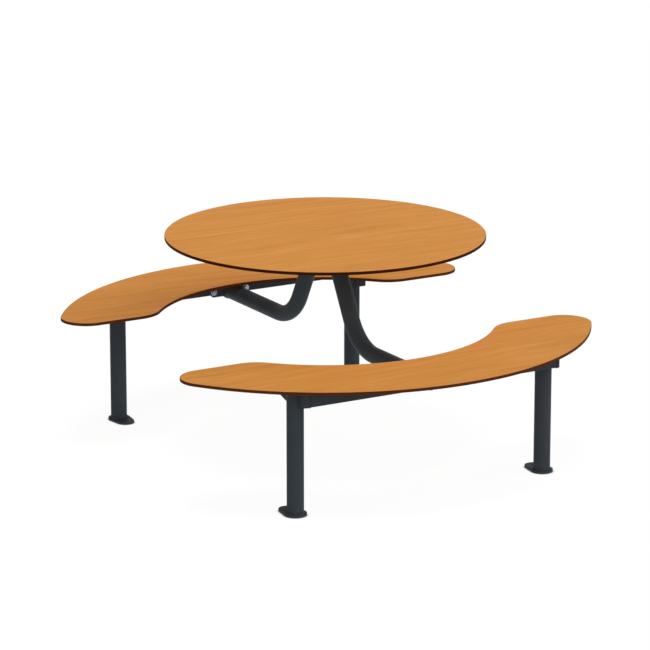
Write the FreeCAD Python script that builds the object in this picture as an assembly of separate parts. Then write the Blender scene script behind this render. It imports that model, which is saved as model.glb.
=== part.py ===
import FreeCAD, Part

import math
import os

# Round picnic table with two fixed crescent benches: compact laminate boards on a
# frame of round steel tube.  Millimetres, Z up, origin on the floor under the
# centre of the table.  The front bench lies at -Y; the rear bench is the same
# bench turned half a turn about Z.

Vector = FreeCAD.Vector
X_AXIS = Vector(1, 0, 0)
Y_AXIS = Vector(0, 1, 0)
Z_AXIS = Vector(0, 0, 1)
ORIGIN = Vector(0, 0, 0)

# ---- driving dimensions ------------------------------------------------------
# boards
BOARD_THICKNESS = 10.0
BOARD_EDGE_BREAK = 1.2
TABLE_RADIUS = 550.0
TABLE_HEIGHT = 754.0
SEAT_HEIGHT = 450.0
SEAT_OUTER_RADIUS = 914.0
SEAT_INNER_RADIUS = 586.0
SEAT_END_Y = 348.0
SEAT_TIP_RADIUS = 92.0
SEAT_CORNER_RADIUS = 120.0

# round tube of legs and arms
TUBE_RADIUS = 28.5
TUBE_WALL = 3.0
BORE_SIDES = 8

# legs and their feet
LEG_X = 480.0
LEG_Y = 635.0
FOOT_THICKNESS = 8.0
FOOT_HEEL_RADIUS = 38.0
FOOT_TOE_RADIUS = 31.0
FOOT_TOE_REACH = 50.0
FOOT_HOLE_REACH = 54.0
FOOT_HOLE_DIAMETER = 12.0

# rail under each bench
RAIL_Y = 711.0
RAIL_WIDTH = 30.0
RAIL_HEIGHT = 50.0
RAIL_WALL = 2.5
RAIL_CORNER_RADIUS = 4.0

# carrier: the upright plate that passes through the slotted leg top
CARRIER_THICKNESS = 8.0
CARRIER_HALF_LENGTH = 91.0
CARRIER_WAIST_HALF = 30.0
CARRIER_DEPTH_AT_LEG = 67.0
CARRIER_CORNER_RADIUS = 3.0

# plates that take the seat screws
SEAT_PLATE_THICKNESS = 5.0
SEAT_PLATE_WIDTH = 90.0
SEAT_PLATE_CORNER = 14.0
TAB_XS = (-330.0, -150.0, 150.0, 330.0)
TAB_WIDTH = 40.0
TAB_REACH = 40.0
TAB_CORNER = 8.0

# arms that carry the table
ARM_AXIS_Z = 399.3
ARM_VERTEX_Y = 227.8
ARM_LEAN = 29.0
ARM_BEND_RADIUS = 177.0

# flange that bolts each arm to its rail
FLANGE_THICKNESS = 8.0
FLANGE_HALF_WIDTH = 86.0
FLANGE_BOTTOM_Z = 380.0
FLANGE_TOP_Z = 430.0
FLANGE_CORNER = 18.0
FLANGE_HUB_RADIUS = 31.0
FLANGE_BOLT_X = 65.0
FLANGE_BOLT_Z = 400.0

# plates that carry the table top
TOP_PLATE_THICKNESS = 6.0
TOP_PLATE_HALF_WIDTH = 180.0
TOP_PLATE_INNER_Y = 2.0
TOP_PLATE_DEPTH = 176.0
TOP_PLATE_CORNER = 30.0

# bolts and weld nuts that join flange and rail
BOLT_THREAD = 12.0
BOLT_FLATS = 16.0
BOLT_HEAD = 7.0
BOLT_CLEARANCE_HOLE = 13.0
BOLT_LENGTH = 25.0
NUT_FLATS = 18.0
NUT_HEIGHT = 10.0
COLLAR_DIAMETER = 26.0
COLLAR_THICKNESS = 2.5

# ---- heights that follow -----------------------------------------------------
SEAT_UNDERSIDE = SEAT_HEIGHT - BOARD_THICKNESS
TABLE_UNDERSIDE = TABLE_HEIGHT - BOARD_THICKNESS
FRAME_TOP = SEAT_UNDERSIDE - SEAT_PLATE_THICKNESS
RAIL_BOTTOM = FRAME_TOP - RAIL_HEIGHT
RAIL_INNER_Y = RAIL_Y - RAIL_WIDTH / 2
RAIL_OUTER_Y = RAIL_Y + RAIL_WIDTH / 2
FLANGE_FACE_Y = RAIL_INNER_Y - FLANGE_THICKNESS
CARRIER_INNER_X = LEG_X - CARRIER_THICKNESS / 2
TOP_PLATE_UNDERSIDE = TABLE_UNDERSIDE - TOP_PLATE_THICKNESS


# ---- small building blocks ---------------------------------------------------
def face_of(edges):
    return Part.Face(Part.Wire(Part.__sortEdges__(edges)))


def arc_about(centre, radius, start, end):
    """Arc in the XY plane about centre, from the start to the end angle (radians)."""
    def at(angle):
        return centre + Vector(radius * math.cos(angle), radius * math.sin(angle), 0)
    return Part.Arc(at(start), at((start + end) / 2), at(end)).toShape()


def cylinder(radius, height, base, direction=Z_AXIS):
    return Part.makeCylinder(radius, height, base, direction)


def regular_polygon(sides, flats):
    """Face about the origin in the XY plane, one flat square to +X; flats is the width over them."""
    corner = flats / 2 / math.cos(math.pi / sides)
    angles = [math.pi * (2 * k + 1) / sides for k in range(sides + 1)]
    return Part.Face(Part.makePolygon(
        [Vector(corner * math.cos(angle), corner * math.sin(angle), 0) for angle in angles]))


def hexagon(flats, height, base, direction=Z_AXIS):
    """Hexagonal prism standing on base."""
    prism = regular_polygon(6, flats).extrude(Z_AXIS * height)
    prism.Placement = FreeCAD.Placement(base, FreeCAD.Rotation(Z_AXIS, direction))
    return prism


def rounded_rectangle(x0, x1, y0, y1, radius, z):
    """Face of a rectangle with equal corner radii, lying at height z."""
    plate = Part.makePlane(x1 - x0, y1 - y0, Vector(x0, y0, z)).extrude(Z_AXIS)
    uprights = [edge for edge in plate.Edges if abs(edge.tangentAt(edge.FirstParameter).z) > 0.9]
    rounded = plate.makeFillet(radius, uprights)
    return next(f for f in rounded.Faces if abs(f.CenterOfMass.z - z) < 1e-6 and f.normalAt(0, 0).z < -0.9)


def trimmed_rectangle(half_x, half_y, corner):
    """Face of a rectangle about the origin in the XY plane with its corners cut off at 45 degrees."""
    quarter = [(half_x, half_y - corner), (half_x - corner, half_y)]
    points = []
    for sx, sy in ((1, 1), (-1, 1), (-1, -1), (1, -1)):
        run = [Vector(sx * x, sy * y, 0) for x, y in quarter]
        points.extend(run if sx * sy > 0 else reversed(run))
    return Part.Face(Part.makePolygon(points + points[:1]))


def trimmed_plate(half_x, half_y, corner, centre, thickness):
    plate = trimmed_rectangle(half_x, half_y, corner).extrude(Z_AXIS * thickness)
    plate.translate(centre)
    return plate


def tube_outline():
    """Outer section of the round tube about the origin in the XY plane."""
    return Part.Face(Part.Wire(Part.makeCircle(TUBE_RADIUS)))


def tube_bore():
    """Straight-sided bore of the tube with the area of a round one, so that the steel weighs the same."""
    flats = 2 * (TUBE_RADIUS - TUBE_WALL) * math.sqrt(math.pi / BORE_SIDES / math.tan(math.pi / BORE_SIDES))
    return regular_polygon(BORE_SIDES, flats)


def break_top_edge(board, top):
    """Chamfer the outline of a board at its top surface."""
    def lies_on_top(edge):
        return abs(edge.BoundBox.ZMin - top) < 1e-6
    return board.makeChamfer(BOARD_EDGE_BREAK, [edge for edge in board.Edges if lies_on_top(edge)])


# ---- boards --------------------------------------------------------------------
def seat_outline():
    """Crescent face of the front seat at its underside.

    Outer and inner arcs share the table's centre.  Each end is cut straight along
    X, with a small fillet at the tip and a wide one at the inner corner.
    """
    centre = Vector(0, 0, 0)
    tip_y = -SEAT_END_Y - SEAT_TIP_RADIUS
    tip_x = math.sqrt((SEAT_OUTER_RADIUS - SEAT_TIP_RADIUS) ** 2 - tip_y ** 2)
    corner_y = -SEAT_END_Y - SEAT_CORNER_RADIUS
    corner_x = math.sqrt((SEAT_INNER_RADIUS + SEAT_CORNER_RADIUS) ** 2 - corner_y ** 2)
    tip_angle = math.atan2(tip_y, tip_x)
    corner_angle = math.atan2(corner_y, corner_x)

    edges = []
    for side in (1, -1):
        def turned(angle):
            return angle if side > 0 else math.pi - angle
        down = turned(-math.pi / 2) if side > 0 else 3 * math.pi / 2
        edges.append(arc_about(centre, SEAT_OUTER_RADIUS, down, turned(tip_angle)))
        edges.append(arc_about(Vector(side * tip_x, tip_y, 0), SEAT_TIP_RADIUS,
                               turned(tip_angle), turned(math.pi / 2)))
        edges.append(Part.LineSegment(Vector(side * tip_x, -SEAT_END_Y, 0),
                                      Vector(side * corner_x, -SEAT_END_Y, 0)).toShape())
        edges.append(arc_about(Vector(side * corner_x, corner_y, 0), SEAT_CORNER_RADIUS,
                               turned(math.pi / 2), turned(math.pi + corner_angle)))
    edges.append(arc_about(centre, SEAT_INNER_RADIUS, math.pi - corner_angle, 2 * math.pi + corner_angle))
    face = face_of(edges)
    face.translate(Z_AXIS * SEAT_UNDERSIDE)
    return face


def seat_board():
    board = seat_outline().extrude(Z_AXIS * BOARD_THICKNESS)
    return break_top_edge(board, SEAT_HEIGHT)


def table_board():
    board = cylinder(TABLE_RADIUS, BOARD_THICKNESS, Vector(0, 0, TABLE_UNDERSIDE))
    return break_top_edge(board, TABLE_HEIGHT)


# ---- legs, feet and carriers (front bench, on the side given by the sign of X) ---
def leg(side):
    """Tube from the foot to the frame top, slotted for the carrier."""
    tube = tube_outline().cut(tube_bore()).extrude(Z_AXIS * (FRAME_TOP - FOOT_THICKNESS))
    tube.translate(Vector(side * LEG_X, -LEG_Y, FOOT_THICKNESS))
    slot = Part.makeBox(CARRIER_THICKNESS, 2 * CARRIER_WAIST_HALF, CARRIER_DEPTH_AT_LEG,
                        Vector(side * LEG_X - CARRIER_THICKNESS / 2, -LEG_Y - CARRIER_WAIST_HALF,
                               FRAME_TOP - CARRIER_DEPTH_AT_LEG))
    return tube.cut(slot)


def foot(side):
    """Floor plate: round heel under the leg and a tapering toe with the floor-bolt hole."""
    heel = Vector(side * LEG_X, -LEG_Y, 0)
    toe = heel + Y_AXIS * FOOT_TOE_REACH
    lean = math.asin((FOOT_HEEL_RADIUS - FOOT_TOE_RADIUS) / FOOT_TOE_REACH)
    heel_arc = arc_about(heel, FOOT_HEEL_RADIUS, math.pi - lean, 2 * math.pi + lean)
    toe_arc = arc_about(toe, FOOT_TOE_RADIUS, lean, math.pi - lean)
    right = Part.LineSegment(heel_arc.Vertexes[1].Point, toe_arc.Vertexes[0].Point).toShape()
    left = Part.LineSegment(toe_arc.Vertexes[1].Point, heel_arc.Vertexes[0].Point).toShape()
    plate = face_of([heel_arc, right, toe_arc, left]).extrude(Z_AXIS * FOOT_THICKNESS)
    return plate.cut(cylinder(FOOT_HOLE_DIAMETER / 2, FOOT_THICKNESS, heel + Y_AXIS * FOOT_HOLE_REACH))


def carrier(side):
    """Upright plate across the leg top: deepest at the leg, tapering to both ends."""
    half, waist = CARRIER_HALF_LENGTH, CARRIER_WAIST_HALF
    end_z = RAIL_BOTTOM
    low_z = FRAME_TOP - CARRIER_DEPTH_AT_LEG
    x = side * LEG_X - CARRIER_THICKNESS / 2
    profile = [(-half, FRAME_TOP), (-half, end_z), (-waist, low_z), (waist, low_z),
               (half, end_z), (half, FRAME_TOP), (-half, FRAME_TOP)]
    face = Part.Face(Part.makePolygon([Vector(x, -LEG_Y + v, z) for v, z in profile]))
    plate = face.extrude(X_AXIS * CARRIER_THICKNESS)
    low_corners = [edge for edge in plate.Edges
                   if edge.BoundBox.YLength < 1e-6 and edge.BoundBox.ZLength < 1e-6
                   and edge.BoundBox.ZMax < FRAME_TOP - 1]
    return plate.makeFillet(CARRIER_CORNER_RADIUS, low_corners)


def leg_seat_plate(side):
    """Flat plate on the leg top and the carrier that the seat board is screwed to."""
    return trimmed_plate(SEAT_PLATE_WIDTH / 2, CARRIER_HALF_LENGTH, SEAT_PLATE_CORNER,
                         Vector(side * LEG_X, -LEG_Y, FRAME_TOP), SEAT_PLATE_THICKNESS)


# ---- rail and its tabs -----------------------------------------------------------
def rail_section():
    """Rounded rectangle of the rail's tube wall in the YZ plane at X = 0."""
    half_z, half_y = RAIL_HEIGHT / 2, RAIL_WIDTH / 2
    outer = rounded_rectangle(-half_z, half_z, -half_y, half_y, RAIL_CORNER_RADIUS, 0)
    inner = Part.makePlane(RAIL_HEIGHT - 2 * RAIL_WALL, RAIL_WIDTH - 2 * RAIL_WALL,
                           Vector(RAIL_WALL - half_z, RAIL_WALL - half_y, 0))
    wall = outer.cut(inner)
    wall.rotate(ORIGIN, Y_AXIS, 90)
    wall.translate(Vector(0, -RAIL_Y, RAIL_BOTTOM + half_z))
    return wall


def rail():
    """Rectangular tube between the two carriers, drilled on its inner face for the bolts."""
    length = 2 * CARRIER_INNER_X
    tube = rail_section().extrude(X_AXIS * length)
    tube.translate(X_AXIS * (-length / 2))
    return tube.cut(bolt_holes(-RAIL_INNER_Y - RAIL_WALL, RAIL_WALL))


def bolt_holes(y, depth):
    """The two flange-bolt holes as cylinders that start at y and run along +Y."""
    return Part.makeCompound([
        cylinder(BOLT_CLEARANCE_HOLE / 2, depth, Vector(x, y, FLANGE_BOLT_Z), Y_AXIS)
        for x in (-FLANGE_BOLT_X, FLANGE_BOLT_X)])


def rail_tabs():
    """Short plates on the rail that carry seat screws, with their free corners cut off."""
    free_end, back = -RAIL_INNER_Y + TAB_REACH, -RAIL_OUTER_Y
    half, cut = TAB_WIDTH / 2, TAB_CORNER
    outline = [(-half, back), (half, back), (half, free_end - cut), (half - cut, free_end),
               (cut - half, free_end), (-half, free_end - cut), (-half, back)]
    tabs = []
    for x in TAB_XS:
        face = Part.Face(Part.makePolygon([Vector(x + u, y, FRAME_TOP) for u, y in outline]))
        tabs.append(face.extrude(Z_AXIS * SEAT_PLATE_THICKNESS))
    return Part.makeCompound(tabs)


# ---- arm, its flange and its top plate -----------------------------------------------
def arm_sweep(section):
    """Bar along the arm: level from the flange, then bent up to the table plate."""
    turn = math.radians(90 - ARM_LEAN)
    level_end = -ARM_VERTEX_Y - ARM_BEND_RADIUS * math.tan(turn / 2)
    start = section.copy()
    start.rotate(ORIGIN, X_AXIS, -90)
    start.translate(Vector(0, -FLANGE_FACE_Y, ARM_AXIS_Z))
    level = start.extrude(Y_AXIS * (level_end + FLANGE_FACE_Y))

    at_bend = start.copy()
    at_bend.translate(Y_AXIS * (level_end + FLANGE_FACE_Y))
    bend_centre = Vector(0, level_end, ARM_AXIS_Z + ARM_BEND_RADIUS)
    bend = at_bend.revolve(bend_centre, X_AXIS, math.degrees(turn))

    after_bend = at_bend.copy()
    after_bend.rotate(bend_centre, X_AXIS, math.degrees(turn))
    upward = Vector(0, math.cos(turn), math.sin(turn))
    rising = after_bend.extrude(upward * (2 * (TOP_PLATE_UNDERSIDE - ARM_AXIS_Z)))
    bar = level.fuse([bend, rising]).removeSplitter()
    below_plate = Part.makeBox(4 * TUBE_RADIUS, 2 * RAIL_Y, TOP_PLATE_UNDERSIDE,
                               Vector(-2 * TUBE_RADIUS, -RAIL_Y, 0))
    return bar.common(below_plate)


def arm():
    return arm_sweep(tube_outline()).cut(arm_sweep(tube_bore()))


def arm_flange():
    """Upright plate on the rail's inner face, with a hub around the arm that is welded to it."""
    plate = trimmed_rectangle(FLANGE_HALF_WIDTH, (FLANGE_TOP_Z - FLANGE_BOTTOM_Z) / 2, FLANGE_CORNER)
    plate.rotate(ORIGIN, X_AXIS, 90)
    plate.translate(Vector(0, -RAIL_INNER_Y, (FLANGE_TOP_Z + FLANGE_BOTTOM_Z) / 2))
    plate = plate.extrude(Y_AXIS * FLANGE_THICKNESS)
    hub = cylinder(FLANGE_HUB_RADIUS, FLANGE_THICKNESS, Vector(0, -RAIL_INNER_Y, ARM_AXIS_Z), Y_AXIS)
    plate = plate.fuse(hub).removeSplitter()
    return plate.cut(bolt_holes(-RAIL_INNER_Y, FLANGE_THICKNESS))


def top_plate():
    return trimmed_plate(TOP_PLATE_HALF_WIDTH, TOP_PLATE_DEPTH / 2, TOP_PLATE_CORNER,
                         Vector(0, -TOP_PLATE_INNER_Y - TOP_PLATE_DEPTH / 2, TOP_PLATE_UNDERSIDE),
                         TOP_PLATE_THICKNESS)


# ---- flange bolts, screwed into weld nuts inside the rail -----------------------------
def at_each_bolt(make):
    return Part.makeCompound([make(x) for x in (-FLANGE_BOLT_X, FLANGE_BOLT_X)])


def flange_bolt(x):
    """Hexagon bolt with a collar, put in from the arm's side."""
    base = Vector(x, -FLANGE_FACE_Y, FLANGE_BOLT_Z)
    shank = cylinder(BOLT_THREAD / 2, BOLT_LENGTH, base, -Y_AXIS)
    collar = cylinder(COLLAR_DIAMETER / 2, COLLAR_THICKNESS, base, Y_AXIS)
    head = hexagon(BOLT_FLATS, BOLT_HEAD, base + Y_AXIS * COLLAR_THICKNESS, Y_AXIS)
    return shank.fuse([collar, head])


def weld_nut(x):
    base = Vector(x, -RAIL_INNER_Y - RAIL_WALL, FLANGE_BOLT_Z)
    return hexagon(NUT_FLATS, NUT_HEIGHT, base, -Y_AXIS).cut(
        cylinder(BOLT_THREAD / 2, NUT_HEIGHT, base, -Y_AXIS))


# ---- one bench with its half of the table support ---------------------------------------
def bench(name):
    """Sub-parts of the bench, built at -Y; the rear bench gets turned afterwards."""
    left, right = (-1, 1) if name == "front" else (1, -1)
    parts = {
        name + "_seat": seat_board(),
        name + "_rail": rail(),
        name + "_rail_tabs": rail_tabs(),
        name + "_arm": arm(),
        name + "_arm_flange": arm_flange(),
        name + "_table_plate": top_plate(),
        name + "_flange_bolts": at_each_bolt(flange_bolt),
        name + "_weld_nuts": at_each_bolt(weld_nut),
    }
    for side_name, side in (("left", left), ("right", right)):
        label = name + "_" + side_name
        parts[label + "_leg"] = leg(side)
        parts[label + "_foot"] = foot(side)
        parts[label + "_carrier"] = carrier(side)
        parts[label + "_seat_plate"] = leg_seat_plate(side)
    if name == "rear":
        for shape in parts.values():
            shape.rotate(ORIGIN, Z_AXIS, 180)
    return parts


def build():
    parts = {"table_top": table_board()}
    parts.update(bench("front"))
    parts.update(bench("rear"))
    return parts


os.makedirs("parts", exist_ok=True)
for node, shape in build().items():
    if not shape.isValid():
        raise ValueError(node + " is not a valid shape")
    shape.exportStep(os.path.join("parts", node + ".step"))
    print(node, len(shape.Solids), "solid(s), volume", round(shape.Volume / 1000, 1), "cm3")
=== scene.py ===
import math
from collections import namedtuple

import bmesh
import bpy
from mathutils import Euler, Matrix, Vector, noise


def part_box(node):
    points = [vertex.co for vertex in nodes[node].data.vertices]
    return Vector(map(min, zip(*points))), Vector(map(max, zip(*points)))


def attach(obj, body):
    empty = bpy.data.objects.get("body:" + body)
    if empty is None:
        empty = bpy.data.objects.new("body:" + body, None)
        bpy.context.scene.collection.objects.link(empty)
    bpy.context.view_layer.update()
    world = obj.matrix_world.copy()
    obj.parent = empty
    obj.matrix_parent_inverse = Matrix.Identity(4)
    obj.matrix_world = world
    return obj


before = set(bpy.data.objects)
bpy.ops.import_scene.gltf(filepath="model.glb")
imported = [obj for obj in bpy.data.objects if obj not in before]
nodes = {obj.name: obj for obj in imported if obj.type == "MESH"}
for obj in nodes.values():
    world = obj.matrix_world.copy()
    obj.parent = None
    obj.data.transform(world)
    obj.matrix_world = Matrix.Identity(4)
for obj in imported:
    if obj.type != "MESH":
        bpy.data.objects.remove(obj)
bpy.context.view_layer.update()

BENCHES = ("front", "rear")
SIDES = ("left", "right")
INWARD = {"front": 1, "rear": -1}     # the way along Y from each bench to the table
X, Y, Z = range(3)
UP = Vector((0, 0, 1))
DOWN = Vector((0, 0, -1))

# ---- colours, as 8-bit sRGB ----------------------------------------------------------
SHEET_TONES = ((208, 137, 64), (212, 141, 67))
DARK_STREAK = (189, 116, 47)
PALE_STREAK = (229, 165, 94)
FIBRE = (225, 160, 84)
FLECK = (160, 92, 38)
CORE_TONES = ((74, 36, 19), (100, 52, 29))
STEEL_TONES = ((60, 67, 71), (65, 72, 77))
STEEL_GRAIN = (78, 86, 91)
ZINC_TONES = ((128, 134, 141), (162, 168, 175))


def srgb(color, light=1.0):
    """Linear RGBA of an 8-bit sRGB colour, with its channels scaled by light."""
    def linear(channel):
        value = channel / 255
        return value / 12.92 if value <= 0.04045 else ((value + 0.055) / 1.055) ** 2.4
    return tuple(linear(channel) * light for channel in color) + (1.0,)


# ---- camera --------------------------------------------------------------------------
# A long lens a little above the boards, turned from +Y towards +X.
CAMERA_PLACE = (-5.959, -10.299, 3.6212)
CAMERA_PITCH = 15.018                 # degrees below level
CAMERA_HEADING = 30.049               # degrees from +Y
FOCAL_PIXELS = 3578.0
IMAGE_PIXELS = 650
SENSOR_WIDTH = 36.0
VIEW_DEPTH = 100.0


def make_camera():
    data = bpy.data.cameras.new("camera")
    data.sensor_width = SENSOR_WIDTH
    data.lens = data.sensor_width * FOCAL_PIXELS / IMAGE_PIXELS
    data.clip_end = VIEW_DEPTH
    camera = bpy.data.objects.new("camera", data)
    camera.location = CAMERA_PLACE
    camera.rotation_euler = Euler((math.radians(90 - CAMERA_PITCH), 0, -math.radians(CAMERA_HEADING)))
    bpy.context.scene.collection.objects.link(camera)
    bpy.context.scene.camera = camera
    bpy.context.scene.view_settings.view_transform = "Standard"


# ---- node helpers --------------------------------------------------------------------
class Shader:
    """A new material with a few shorthands for wiring its nodes."""

    # A Mix node has one set of sockets for each kind of data; these are the ones for colours.
    MIX_FACTOR, MIX_FIRST, MIX_SECOND, MIX_RESULT = 0, 6, 7, 2

    def __init__(self, name):
        self.material = bpy.data.materials.new(name)
        self.material.use_nodes = True
        self.tree = self.material.node_tree
        self.tree.nodes.clear()
        self.output = self.tree.nodes.new("ShaderNodeOutputMaterial")

    def feed(self, node, socket, value):
        """Link a socket to an input, given by name or number, or set the input to a value."""
        if isinstance(value, bpy.types.NodeSocket):
            self.tree.links.new(value, node.inputs[socket])
        else:
            node.inputs[socket].default_value = value

    def node(self, kind, **inputs):
        """A new node with its inputs fed; an underscore stands for a space in an input's name."""
        made = self.tree.nodes.new("ShaderNode" + kind)
        for name, value in inputs.items():
            self.feed(made, name.replace("_", " "), value)
        return made

    def math(self, operation, *values):
        made = self.tree.nodes.new("ShaderNodeMath")
        made.operation = operation
        for index, value in enumerate(values):
            self.feed(made, index, value)
        return made.outputs[0]

    def mix(self, factor, first, second):
        made = self.tree.nodes.new("ShaderNodeMix")
        made.data_type = "RGBA"
        self.feed(made, self.MIX_FACTOR, factor)
        self.feed(made, self.MIX_FIRST, first)
        self.feed(made, self.MIX_SECOND, second)
        return made.outputs[self.MIX_RESULT]

    def remap(self, value, low, high, to_low=0.0, to_high=1.0):
        """value from low..high as to_low..to_high, and level beyond both ends."""
        return self.node("MapRange", Value=value, From_Min=low, From_Max=high,
                         To_Min=to_low, To_Max=to_high).outputs[0]

    def layer(self, under, pattern, color, low, high, share=1.0):
        """color laid over under, from not at all where the pattern is low to share where it is high."""
        return self.mix(self.remap(pattern, low, high, 0.0, share), under, color)

    def stretched_noise(self, coordinates, stretch, detail=3.0, roughness=0.5, shift=(0, 0, 0)):
        """Noise whose features are about 1/stretch metres long along each axis."""
        mapping = self.node("Mapping", Vector=coordinates, Scale=stretch, Location=shift)
        made = self.node("TexNoise", Vector=mapping.outputs[0], Scale=1.0, Detail=detail,
                         Roughness=roughness)
        return made.outputs["Fac"]

    def finish(self, surface):
        self.tree.links.new(surface.outputs[0], self.output.inputs["Surface"])
        return self.material

    def finish_coat(self, color, roughness, relief, strength, depth, **settings):
        """The material as a principled surface with a fine bump made from relief."""
        bump = self.node("Bump", Strength=strength, Distance=depth, Height=relief)
        return self.finish(self.node("BsdfPrincipled", Base_Color=color, Roughness=roughness,
                                     Normal=bump.outputs[0], **settings))


# ---- laminate ------------------------------------------------------------------------
# How each layer of the look is stretched, for stretched_noise.
DRIFT_STRETCH = (1.6, 4.5, 1.0)
BEND_STRETCH = (0.9, 2.4, 1.0)
DARK_STRETCH = (2.2, 31.0, 1.0)
PALE_STRETCH = (2.7, 36.0, 1.0)
FIBRE_STRETCH = (14.0, 620.0, 1.0)
FLECK_STRETCH = (95.0, 1300.0, 1.0)
CORE_STRETCH = (9.0, 9.0, 2600.0)

GRAIN_BEND = 0.22                     # metres across the board for a whole step of the bend noise
PALE_OFFSET = (11.0, 5.0)             # keeps the pale streaks from lying on the dark ones
FLECK_SHARE = 0.45
PORE_DEPTH = 0.6                      # of a fleck in the relief, where fibres rise up to 1
FACE_LEVEL = 0.9                      # the normal's Z, up or down, is more on a face, less on an edge
BOARD_SPECULAR = 0.015


def laminate(name, shift, painted_sheet_shade, painted_core_shade):
    """Compact laminate: a beech-look sheet on the faces, a dark core along the edge.

    The last two arguments scale the sheet and the core colours board by board: painted shade, darker
    copies of one laminate that stand in for the light each board gets, with the table's edge painted much
    darker.
    """
    # a sheet colour darkened by this board's painted shade
    def sheet(color):
        return srgb(color, painted_sheet_shade)

    shader = Shader(name)
    place = shader.node("TexCoord").outputs["Object"]
    facing = shader.node("NewGeometry").outputs["Normal"]

    # slow tone drift, broad growth streaks, fine fibres and short flecks, all drawn out along X
    drift = shader.stretched_noise(place, DRIFT_STRETCH, detail=2.0, shift=shift)
    bend = shader.stretched_noise(place, BEND_STRETCH, detail=2.0, shift=shift)
    parts = shader.node("SeparateXYZ", Vector=place)
    across = shader.math("MULTIPLY_ADD", bend, GRAIN_BEND, parts.outputs["Y"])
    grown = shader.node("CombineXYZ", X=parts.outputs["X"], Y=across).outputs[0]
    pale_shift = (shift[1] + PALE_OFFSET[0], shift[0] + PALE_OFFSET[1], 0.0)
    dark_streaks = shader.stretched_noise(grown, DARK_STRETCH, roughness=0.55, shift=shift)
    pale_streaks = shader.stretched_noise(grown, PALE_STRETCH, roughness=0.55, shift=pale_shift)
    fibres = shader.stretched_noise(grown, FIBRE_STRETCH, roughness=0.6, shift=shift)
    flecks = shader.stretched_noise(grown, FLECK_STRETCH, detail=1.0, shift=shift)
    fleck_mask = shader.remap(flecks, low=0.66, high=0.74)

    tone = shader.layer(sheet(SHEET_TONES[0]), drift, sheet(SHEET_TONES[1]), low=0.32, high=0.68)
    tone = shader.layer(tone, dark_streaks, sheet(DARK_STREAK), low=0.48, high=0.68, share=0.54)
    tone = shader.layer(tone, pale_streaks, sheet(PALE_STREAK), low=0.50, high=0.70, share=0.44)
    tone = shader.layer(tone, fibres, sheet(FIBRE), low=0.35, high=0.70, share=0.40)
    tone = shader.mix(shader.math("MULTIPLY", fleck_mask, FLECK_SHARE), tone, sheet(FLECK))

    # core sheets lie parallel to the faces, so they show as fine level lines on the edge
    sheets = shader.stretched_noise(place, CORE_STRETCH, detail=2.0, shift=shift)
    # the core colours take this board's painted shade as well; on the table it paints the edge much darker
    core_dark, core_pale = (srgb(color, painted_core_shade) for color in CORE_TONES)
    core = shader.layer(core_dark, sheets, core_pale, low=0.35, high=0.65)
    level = shader.math("ABSOLUTE", shader.node("SeparateXYZ", Vector=facing).outputs["Z"])
    on_face = shader.math("GREATER_THAN", level, FACE_LEVEL)

    pores = shader.math("MULTIPLY_ADD", fleck_mask, -PORE_DEPTH, fibres)
    return shader.finish_coat(
        color=shader.mix(on_face, core, tone),
        roughness=shader.remap(fibres, low=0.2, high=0.8, to_low=0.58, to_high=0.48),
        relief=pores, strength=0.12, depth=0.0002,
        Specular_IOR_Level=BOARD_SPECULAR,
    )


# ---- metals --------------------------------------------------------------------------
CLOUD_STRETCH = (7.0, 7.0, 7.0)
GRAIN_STRETCH = (900.0, 900.0, 900.0)
MOTTLE_STRETCH = (420.0, 420.0, 420.0)
STEEL_SPECULAR = 0.03


def powder_coat():
    """Anthracite powder coat: fine orange-peel grain with a satin sheen."""
    shader = Shader("powder_coat")
    place = shader.node("TexCoord").outputs["Object"]
    cloud = shader.stretched_noise(place, CLOUD_STRETCH)
    grain = shader.stretched_noise(place, GRAIN_STRETCH, detail=2.0, roughness=0.6)
    color = shader.layer(srgb(STEEL_TONES[0]), cloud, srgb(STEEL_TONES[1]), low=0.3, high=0.7)
    color = shader.layer(color, grain, srgb(STEEL_GRAIN), low=0.4, high=0.7, share=0.25)
    return shader.finish_coat(
        color=color,
        roughness=shader.remap(grain, low=0.3, high=0.7, to_low=0.40, to_high=0.52),
        relief=grain, strength=0.22, depth=0.0002,
        Specular_IOR_Level=STEEL_SPECULAR,
    )


def zinc():
    """Bright zinc plate with a faint mottling."""
    shader = Shader("zinc_plate")
    place = shader.node("TexCoord").outputs["Object"]
    mottle = shader.stretched_noise(place, MOTTLE_STRETCH, detail=4.0)
    return shader.finish_coat(
        color=shader.layer(srgb(ZINC_TONES[0]), mottle, srgb(ZINC_TONES[1]), low=0.35, high=0.65),
        roughness=shader.remap(mottle, low=0.3, high=0.7, to_low=0.20, to_high=0.32),
        relief=mottle, strength=0.1, depth=0.0001,
        Metallic=1.0,
    )


# ---- floor and surround --------------------------------------------------------------
WHITE = (1.0, 1.0, 1.0, 1.0)
FLOOR_GREY = (0.07, 0.07, 0.07, 1.0)
FLOOR_GLOW_SEEN = 0.95                # the floor's own light where it is seen itself
FLOOR_GLOW_CAST = 0.46                # and as it falls on the object
CONTACT_REACH = 0.012                 # the glow fades this near to whatever stands on the floor
CONTACT_GLOW = 0.4                    # what is left of it there
FLOOR_HALF_WIDTH = 40.0
FLOOR_GAP = 0.0004                    # under the feet, so that no two faces share a plane
STUDIO_TINT = (0.92, 0.96, 1.0, 1.0)
STUDIO_STRENGTH = 0.12


def sees_background(tree):
    """1 for the rays that see the white backdrop itself: camera, glossy and transmission rays."""
    path = tree.nodes.new("ShaderNodeLightPath")
    total = path.outputs["Is Camera Ray"]
    for kind in ("Is Glossy Ray", "Is Transmission Ray"):
        either = tree.nodes.new("ShaderNodeMath")
        either.operation = "MAXIMUM"
        tree.links.new(total, either.inputs[0])
        tree.links.new(path.outputs[kind], either.inputs[1])
        total = either.outputs[0]
    return total


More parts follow.
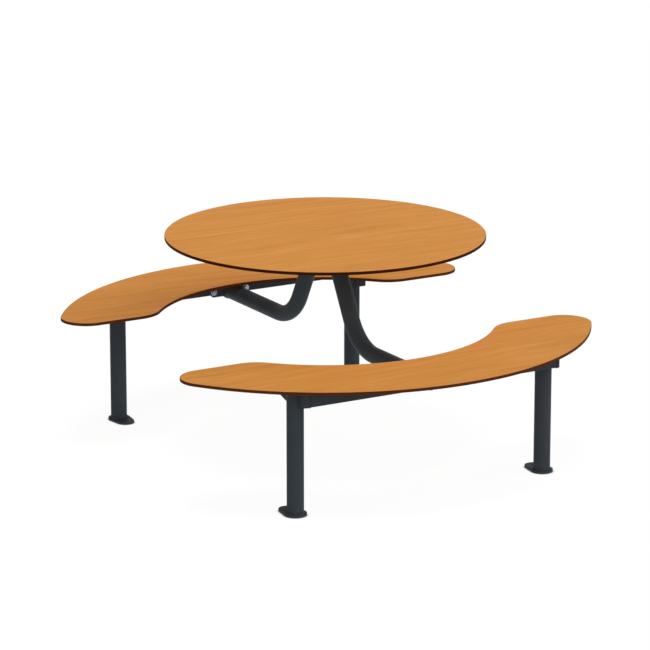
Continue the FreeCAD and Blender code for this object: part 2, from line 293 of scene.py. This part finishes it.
def floor_white():
    """Pale studio floor: paper white with faint shadows where it is seen, an even glow elsewhere."""
    shader = Shader("floor_white")
    seen = sees_background(shader.tree)
    glow = shader.remap(seen, low=0.0, high=1.0, to_low=FLOOR_GLOW_CAST, to_high=FLOOR_GLOW_SEEN)
    openness = shader.node("AmbientOcclusion", Distance=CONTACT_REACH).outputs["AO"]
    contact = shader.remap(openness, low=0.5, high=0.9, to_low=CONTACT_GLOW, to_high=1.0)
    diffuse = shader.node("BsdfDiffuse", Color=FLOOR_GREY)
    lift = shader.node("Emission", Color=WHITE, Strength=shader.math("MULTIPLY", glow, contact))
    surface = shader.node("AddShader")
    shader.tree.links.new(diffuse.outputs[0], surface.inputs[0])
    shader.tree.links.new(lift.outputs[0], surface.inputs[1])
    return shader.finish(surface)


def make_floor(material):
    bm = bmesh.new()
    bmesh.ops.create_grid(bm, x_segments=1, y_segments=1, size=FLOOR_HALF_WIDTH)
    mesh = mesh_from("floor", bm)
    mesh.materials.append(material)
    floor = bpy.data.objects.new("floor", mesh)
    floor.location.z = -FLOOR_GAP
    bpy.context.scene.collection.objects.link(floor)


def make_world():
    """Even pale studio surround, plain white to the camera and in reflections."""
    world = bpy.data.worlds.new("studio")
    bpy.context.scene.world = world
    world.use_nodes = True
    tree = world.node_tree
    tree.nodes.clear()

    def background(color, strength):
        made = tree.nodes.new("ShaderNodeBackground")
        made.inputs["Color"].default_value = color
        made.inputs["Strength"].default_value = strength
        return made.outputs[0]

    mix = tree.nodes.new("ShaderNodeMixShader")
    output = tree.nodes.new("ShaderNodeOutputWorld")
    tree.links.new(sees_background(tree), mix.inputs[0])
    tree.links.new(background(STUDIO_TINT, STUDIO_STRENGTH), mix.inputs[1])
    tree.links.new(background(WHITE, 1.0), mix.inputs[2])
    tree.links.new(mix.outputs[0], output.inputs["Surface"])


# ---- lights --------------------------------------------------------------------------
WARM = (1.0, 0.99, 0.97)
COOL = (0.97, 0.99, 1.0)


def soft_sun(name, towards, irradiance, softness, color):
    """A wide, even light, softness degrees across, that shines along towards.

    Irradiance 1 renders a colour as written.
    """
    data = bpy.data.lights.new(name, "SUN")
    data.energy = math.pi * irradiance
    data.angle = math.radians(softness)
    data.color = color
    light = bpy.data.objects.new(name, data)
    light.rotation_euler = Vector(towards).to_track_quat("-Z", "Y").to_euler()
    bpy.context.scene.collection.objects.link(light)


def make_lights():
    soft_sun("top_light", towards=(0.10, 0.10, -1.0), irradiance=0.44, softness=18.0, color=WARM)
    soft_sun("right_light", towards=(-0.71, 0.41, -0.57), irradiance=0.48, softness=60.0, color=COOL)
    soft_sun("front_light", towards=(0.45, 0.79, -0.42), irradiance=0.30, softness=60.0, color=COOL)


# ---- mesh helpers --------------------------------------------------------------------
PLANE_TOLERANCE = 2e-5
SAME_POINT_DIGITS = 5
LEAST_TURN = 1e-12                    # what a hull's corner turns at least, as a cross product


def mesh_from(name, bm):
    bmesh.ops.recalc_face_normals(bm, faces=bm.faces)
    mesh = bpy.data.meshes.new(name)
    bm.to_mesh(mesh)
    bm.free()
    return mesh


def add_piece(bench, kind, bm, material, smooth=True):
    """A piece of a bench, from the mesh in bm."""
    mesh = mesh_from(kind, bm)
    mesh.materials.append(material)
    for polygon in mesh.polygons:
        polygon.use_smooth = smooth
    piece = bpy.data.objects.new("%s_%s" % (bench, kind), mesh)
    bpy.context.scene.collection.objects.link(piece)
    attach(piece, "root")


def rim(node, axis, at):
    """Outer outline of a CAD node on the plane where its coordinate on axis is at."""
    first, second = (index for index in (X, Y, Z) if index != axis)
    points = {}
    for vertex in nodes[node].data.vertices:
        if abs(vertex.co[axis] - at) < PLANE_TOLERANCE:
            key = (round(vertex.co[first], SAME_POINT_DIGITS), round(vertex.co[second], SAME_POINT_DIGITS))
            points[key] = vertex.co.copy()
    ordered = sorted(points)

    def half_hull(keys):
        """One side of the outline, without its last corner, where the other side starts."""
        chain = []
        for key in keys:
            while len(chain) > 1:
                (ax, ay), (bx, by) = chain[-2], chain[-1]
                if (bx - ax) * (key[1] - ay) - (by - ay) * (key[0] - ax) > LEAST_TURN:
                    break
                chain.pop()
            chain.append(key)
        return chain[:-1]

    return [points[key] for key in half_hull(ordered) + half_hull(ordered[::-1])]


def resampled(loop, step):
    """Points about step apart along a closed loop."""
    dense = []
    for here, there in zip(loop, loop[1:] + loop[:1]):
        pieces = max(1, round((there - here).length / step))
        dense.extend(here.lerp(there, index / pieces) for index in range(pieces))
    return dense


def skin(bm, ring, following):
    """A belt of faces between two rings of as many vertices."""
    for corner in range(len(ring)):
        beside = (corner + 1) % len(ring)
        bm.faces.new((ring[corner], ring[beside], following[beside], following[corner]))


# ---- weld beads ----------------------------------------------------------------------
WELD_LEG = 0.0042                     # legs and arm tops
FLANGE_WELD_LEG = 0.0024
RAIL_WELD_LEG = 0.0026
WELD_STEP = 0.0022                    # from ring to ring of a bead
WELD_SIDES = 7                        # points of a ring from toe to toe
WELD_TOE = 0.80                       # how far out a bead's two toes lie, as a share of its leg
WELD_CROWN = 0.20                     # and how much farther its middle does
RIPPLE = 0.10                         # regular ripple, as a share of the leg
RIPPLE_TURN = 2.1                     # radians of the ripple in each step
UNEVENNESS = 0.12                     # slow change of size, as a share of the leg
UNEVEN_SCALE = 160                    # of these changes in a metre
ROOT_DEPTH = 0.0004                   # how far the bead's root lies inside the tube
ROOT_LIFT = 0.0001                    # and off the plate


def weld_bead(bm, loop, up, seed, leg=WELD_LEG):
    """A rippled fillet weld round a closed loop; up points off the plate that the loop lies on."""
    path = resampled(loop, WELD_STEP)
    middle = sum(path, Vector()) / len(path)
    rings = []
    for index, point in enumerate(path):
        along = (path[(index + 1) % len(path)] - path[index - 1]).normalized()
        outward = along.cross(up).normalized()
        if outward.dot(point - middle) < 0:
            outward.negate()
        uneven = noise.noise(point * UNEVEN_SCALE + Vector((seed, 0, 0)))
        size = leg * (1 + RIPPLE * math.sin(index * RIPPLE_TURN) + UNEVENNESS * uneven)
        ring = []
        for corner in range(WELD_SIDES):
            angle = math.pi / 2 * corner / (WELD_SIDES - 1)
            bulge = WELD_TOE + WELD_CROWN * math.sin(2 * angle)
            offset = outward * math.cos(angle) * size * bulge + up * math.sin(angle) * size * bulge
            ring.append(bm.verts.new(point + offset))
        ring.append(bm.verts.new(point - outward * ROOT_DEPTH + up * ROOT_LIFT))
        rings.append(ring)
    for ring, following in zip(rings, rings[1:] + rings[:1]):
        skin(bm, ring, following)


def weld_feet(bench, steel):
    """Round each leg, on its foot."""
    bm = bmesh.new()
    for side in SIDES:
        leg = "%s_%s_leg" % (bench, side)
        foot_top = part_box("%s_%s_foot" % (bench, side))[1][Z]
        weld_bead(bm, rim(leg, Z, foot_top), UP, seed=len(leg))
    add_piece(bench, "foot_welds", bm, steel)


def weld_arm(bench, steel):
    """Round the arm's two ends, on the flange and on the table plate."""
    bm = bmesh.new()
    arm = bench + "_arm"
    low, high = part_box(arm)
    flange_face = low[Y] if bench == "front" else high[Y]
    off_flange = Vector((0, INWARD[bench], 0))
    weld_bead(bm, rim(arm, Y, flange_face), off_flange, seed=3, leg=FLANGE_WELD_LEG)
    weld_bead(bm, rim(arm, Z, high[Z]), -UP, seed=5)
    add_piece(bench, "arm_welds", bm, steel)


def weld_rail(bench, steel):
    """Round the rail's two ends, on the carriers."""
    bm = bmesh.new()
    rail_low, rail_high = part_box(bench + "_rail")
    weld_bead(bm, rim(bench + "_rail", X, rail_low[X]), Vector((1, 0, 0)), seed=7, leg=RAIL_WELD_LEG)
    weld_bead(bm, rim(bench + "_rail", X, rail_high[X]), Vector((-1, 0, 0)), seed=9, leg=RAIL_WELD_LEG)
    add_piece(bench, "rail_welds", bm, steel)


# ---- board screws --------------------------------------------------------------------
Screw = namedtuple("Screw", "collar_radius across_flats height")
SEAT_SCREW = Screw(collar_radius=0.0065, across_flats=0.010, height=0.0042)
TABLE_SCREW = Screw(collar_radius=0.0085, across_flats=0.013, height=0.0055)

COLLAR_SIDES = 24
COLLAR_RIM = 0.0009                   # height of the collar's straight side
COLLAR_TOP = 0.0013
COLLAR_TAPER = 0.86
HEX_SIDES = 6
HEX_FOOT = 0.0012                     # the hexagon starts inside the collar
HEX_CHAMFER = 0.0006
HEX_TAPER = 0.9

PLATE_SCREWS_X = (-0.034, 0.034)      # from a seat plate's centre
PLATE_SCREWS_INWARD = (-0.040, 0.070)
TAB_X = (-0.33, -0.15, 0.15, 0.33)    # the middle of each rail tab
TAB_SCREW_INSET = 0.016               # from a tab's free end
TABLE_SCREW_INSET = 0.028             # from the table plate's edges
TABLE_SCREW_OFFSET = 0.07             # of the inner screws, from its middle


def screw_head(bm, place, screw):
    """A hexagon head on its round collar, both closed, pointing down from a plate."""
    side = DOWN.orthogonal().normalized()
    other = DOWN.cross(side)

    def ring(radius, depth, count):
        return [bm.verts.new(place + DOWN * depth
                             + side * radius * math.cos(2 * math.pi * k / count)
                             + other * radius * math.sin(2 * math.pi * k / count))
                for k in range(count)]

    def close(rings):
        for first, second in zip(rings, rings[1:]):
            skin(bm, first, second)
        bm.faces.new(rings[0])
        bm.faces.new(rings[-1])

    close([ring(screw.collar_radius, 0.0, COLLAR_SIDES),
           ring(screw.collar_radius, COLLAR_RIM, COLLAR_SIDES),
           ring(screw.collar_radius * COLLAR_TAPER, COLLAR_TOP, COLLAR_SIDES)])
    corner = screw.across_flats / math.sqrt(3)
    close([ring(corner, HEX_FOOT, HEX_SIDES),
           ring(corner, screw.height - HEX_CHAMFER, HEX_SIDES),
           ring(corner * HEX_TAPER, screw.height, HEX_SIDES)])


def screw_seat(bench, plated):
    """Screw heads under the seat plates and the rail tabs."""
    inward = INWARD[bench]
    bm = bmesh.new()
    for side in SIDES:
        low, high = (Vector(corner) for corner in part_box("%s_%s_seat_plate" % (bench, side)))
        centre = (low + high) / 2
        for u in PLATE_SCREWS_X:
            for v in PLATE_SCREWS_INWARD:
                screw_head(bm, Vector((centre.x + u, centre.y + inward * v, low.z)), SEAT_SCREW)
    tab_low, tab_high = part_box(bench + "_rail_tabs")
    free_end = tab_high[Y] if bench == "front" else tab_low[Y]
    for x in TAB_X:
        screw_head(bm, Vector((x, free_end - inward * TAB_SCREW_INSET, tab_low[Z])), SEAT_SCREW)
    add_piece(bench, "seat_screws", bm, plated, smooth=False)


def screw_table(bench, plated):
    """Screw heads in two rows under the table plate."""
    bm = bmesh.new()
    low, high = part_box(bench + "_table_plate")
    middle = 0.5 * (low[X] + high[X])
    for x in (low[X] + TABLE_SCREW_INSET, middle - TABLE_SCREW_OFFSET,
              middle + TABLE_SCREW_OFFSET, high[X] - TABLE_SCREW_INSET):
        for y in (low[Y] + TABLE_SCREW_INSET, high[Y] - TABLE_SCREW_INSET):
            screw_head(bm, Vector((x, y, low[Z])), TABLE_SCREW)
    add_piece(bench, "table_screws", bm, plated, smooth=False)


# ---- build ---------------------------------------------------------------------------
def dress_nodes(boards, steel, plated):
    """Each CAD node gets its own material; boards has the laminated ones by name."""
    for name, node in nodes.items():
        metal = plated if name.endswith(("flange_bolts", "weld_nuts")) else steel
        node.data.materials.clear()
        node.data.materials.append(boards.get(name, metal))


make_camera()
steel = powder_coat()
plated = zinc()
# each board's laminate is a darker copy of the same colours: painted shade for the light that board gets
boards = {
    "front_seat": laminate("laminate_front", shift=(3.1, 0.4, 0.0), painted_sheet_shade=0.94, painted_core_shade=1.0),
    "rear_seat": laminate("laminate_rear", shift=(7.7, 2.9, 0.0), painted_sheet_shade=0.98, painted_core_shade=1.0),
    "table_top": laminate("laminate_table", shift=(0.0, 5.3, 0.0), painted_sheet_shade=0.99, painted_core_shade=0.42),
}
dress_nodes(boards, steel, plated)
for bench in BENCHES:
    weld_feet(bench, steel)
    weld_arm(bench, steel)
    weld_rail(bench, steel)
for bench in BENCHES:
    screw_seat(bench, plated)
    screw_table(bench, plated)
make_floor(floor_white())
make_world()
make_lights()
